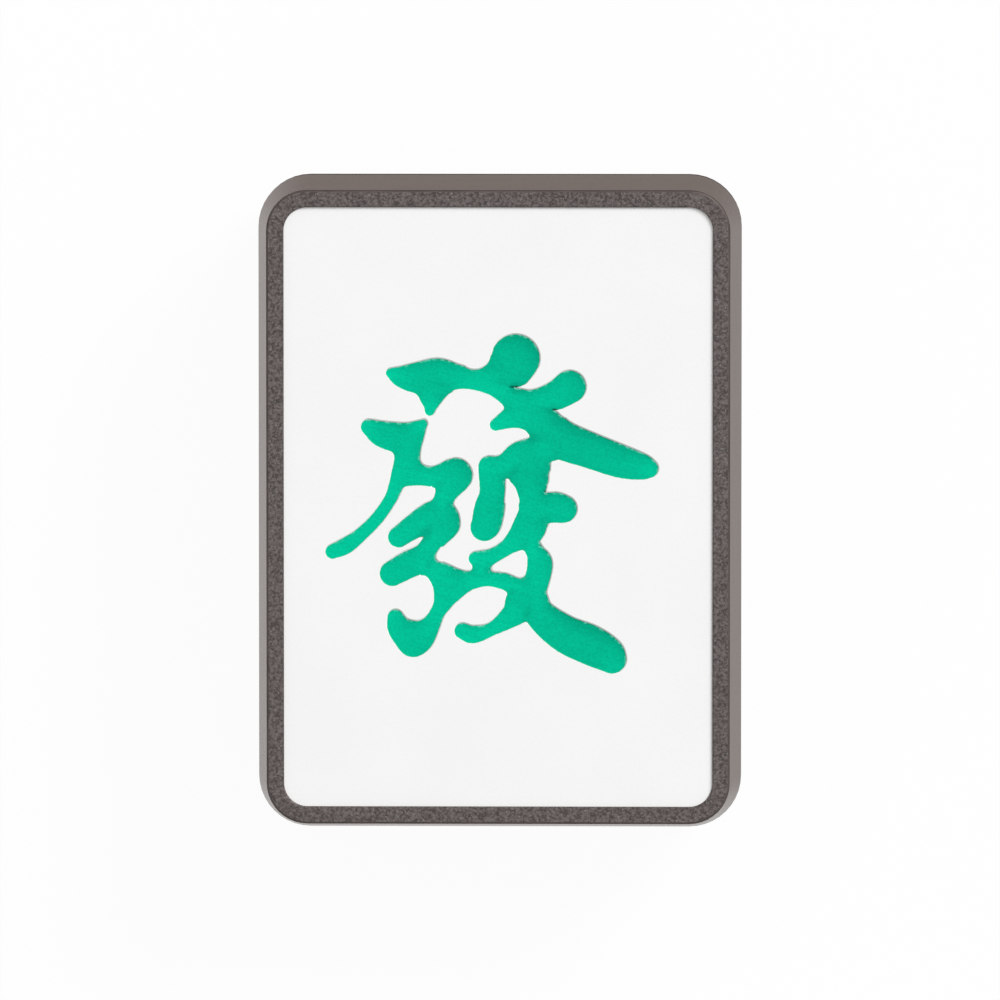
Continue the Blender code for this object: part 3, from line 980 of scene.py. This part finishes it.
def add_sky(scene, stage):
    """A white surround, plain white where it is seen and dimmer as a light."""
    world = bpy.data.worlds.new("white_surround")
    world.use_nodes = True
    world.node_tree.nodes.clear()
    nodes = Nodes(world.node_tree)
    light = nodes.add("Background", {"Color": (1, 1, 1, 1), "Strength": stage.sky})
    seen = nodes.add("Background", {"Color": (1, 1, 1, 1), "Strength": 1.0})
    surround = nodes.add("MixShader", {0: seen_share(nodes), 1: light, 2: seen})
    nodes.add("OutputWorld", {"Surface": surround})
    scene.world = world


def add_floor(scene, stage):
    """A pale floor just under the tile, lifted towards white where it is seen, that keeps the shadow."""
    material = bpy.data.materials.new("pale_floor")
    material.use_nodes = True
    material.node_tree.nodes.clear()
    nodes = Nodes(material.node_tree)
    matte = nodes.add("BsdfDiffuse", {"Color": (*stage.floor, 1)})
    white = nodes.add("Emission", {"Color": (1, 1, 1, 1), "Strength": 1.0})
    share = seen_share(nodes) * stage.floor_white
    nodes.add("OutputMaterial", {"Surface": nodes.add("MixShader", {0: share, 1: matte, 2: white})})
    bm = bmesh.new()
    place = Matrix.Translation((0, 0, CAD_BOX[0].z - FLOOR_DROP))
    bmesh.ops.create_grid(bm, x_segments=1, y_segments=1, size=FLOOR_HALF, matrix=place)
    mesh = bpy.data.meshes.new("floor")
    bm.to_mesh(mesh)
    bm.free()
    mesh.materials.append(material)
    floor = bpy.data.objects.new("floor", mesh)
    scene.collection.objects.link(floor)


def add_lamp(scene, stage):
    """One large soft lamp, up and to the right."""
    light = bpy.data.lights.new("soft_lamp", "AREA")
    light.shape = "SQUARE"
    light.size = stage.lamp_size
    light.energy = stage.lamp_power
    lamp = bpy.data.objects.new("soft_lamp", light)
    lamp.location = stage.lamp_place
    lamp.rotation_mode = "QUATERNION"
    lamp.rotation_quaternion = (-lamp.location).to_track_quat("-Z", "Y")
    scene.collection.objects.link(lamp)


def add_camera(scene, stage):
    """A long lens almost straight above the tile, with the tile's length upright in the picture."""
    target = Vector((0, 0, CAD_BOX[1].z))
    back = Vector((math.tan(stage.lean_across), math.tan(stage.lean_along), 1)).normalized()
    right = Vector((0, 1, 0)).cross(back).normalized()
    turn = Matrix((right, back.cross(right), back)).transposed().to_4x4()
    data = bpy.data.cameras.new("camera")
    data.lens = data.sensor_width * stage.camera_distance / stage.picture_width
    data.shift_x = stage.shift_across
    data.shift_y = stage.shift_up
    camera = bpy.data.objects.new("camera", data)
    camera.matrix_world = Matrix.Translation(target + stage.camera_distance * back) @ turn
    scene.collection.objects.link(camera)
    scene.camera = camera


class TILE_OT_stage(bpy.types.Operator):
    """Set up the floor, the light and the camera"""

    bl_idname = "tile.stage"
    bl_label = "Stage"

    def execute(self, context):
        scene = context.scene
        scene.view_settings.view_transform = "Standard"
        add_camera(scene, scene.tile_stage)
        add_floor(scene, scene.tile_stage)
        add_sky(scene, scene.tile_stage)
        add_lamp(scene, scene.tile_stage)
        return {"FINISHED"}


OPERATORS = (
    TILE_OT_stage,
    TILE_OT_shells,
    TILE_OT_face_plate,
    TILE_OT_back_plate,
    TILE_OT_track_plates,
    TILE_OT_magnets,
    TILE_OT_screws,
)
GROUPS = {"tile_mark": TileMark, "tile_finishes": TileFinishes, "tile_stage": TileStage}


class TILE_PT_tile(bpy.types.Panel):
    """Sizes, colours and pieces of the tile"""

    bl_idname = "TILE_PT_tile"
    bl_label = "Mahjong Tile"
    bl_space_type = "VIEW_3D"
    bl_region_type = "UI"
    bl_category = "Tile"

    def draw(self, context):
        for group in GROUPS:
            box = self.layout.box()
            settings = getattr(context.scene, group)
            for name in GROUPS[group].__annotations__:
                box.prop(settings, name)
        for operator in OPERATORS:
            self.layout.operator(operator.bl_idname)


CLASSES = (*GROUPS.values(), *OPERATORS, TILE_PT_tile)


def register():
    for made in CLASSES:
        bpy.utils.register_class(made)
    for name, group in GROUPS.items():
        setattr(bpy.types.Scene, name, PointerProperty(type=group))


def unregister():
    for name in GROUPS:
        delattr(bpy.types.Scene, name)
    for made in reversed(CLASSES):
        bpy.utils.unregister_class(made)


def main():
    register()
    bpy.ops.tile.stage()
    bpy.ops.tile.shells()
    bpy.ops.tile.face_plate()
    bpy.ops.tile.back_plate()
    bpy.ops.tile.track_plates()
    bpy.ops.tile.magnets()
    bpy.ops.tile.screws()


if __name__ == "__main__":
    main()
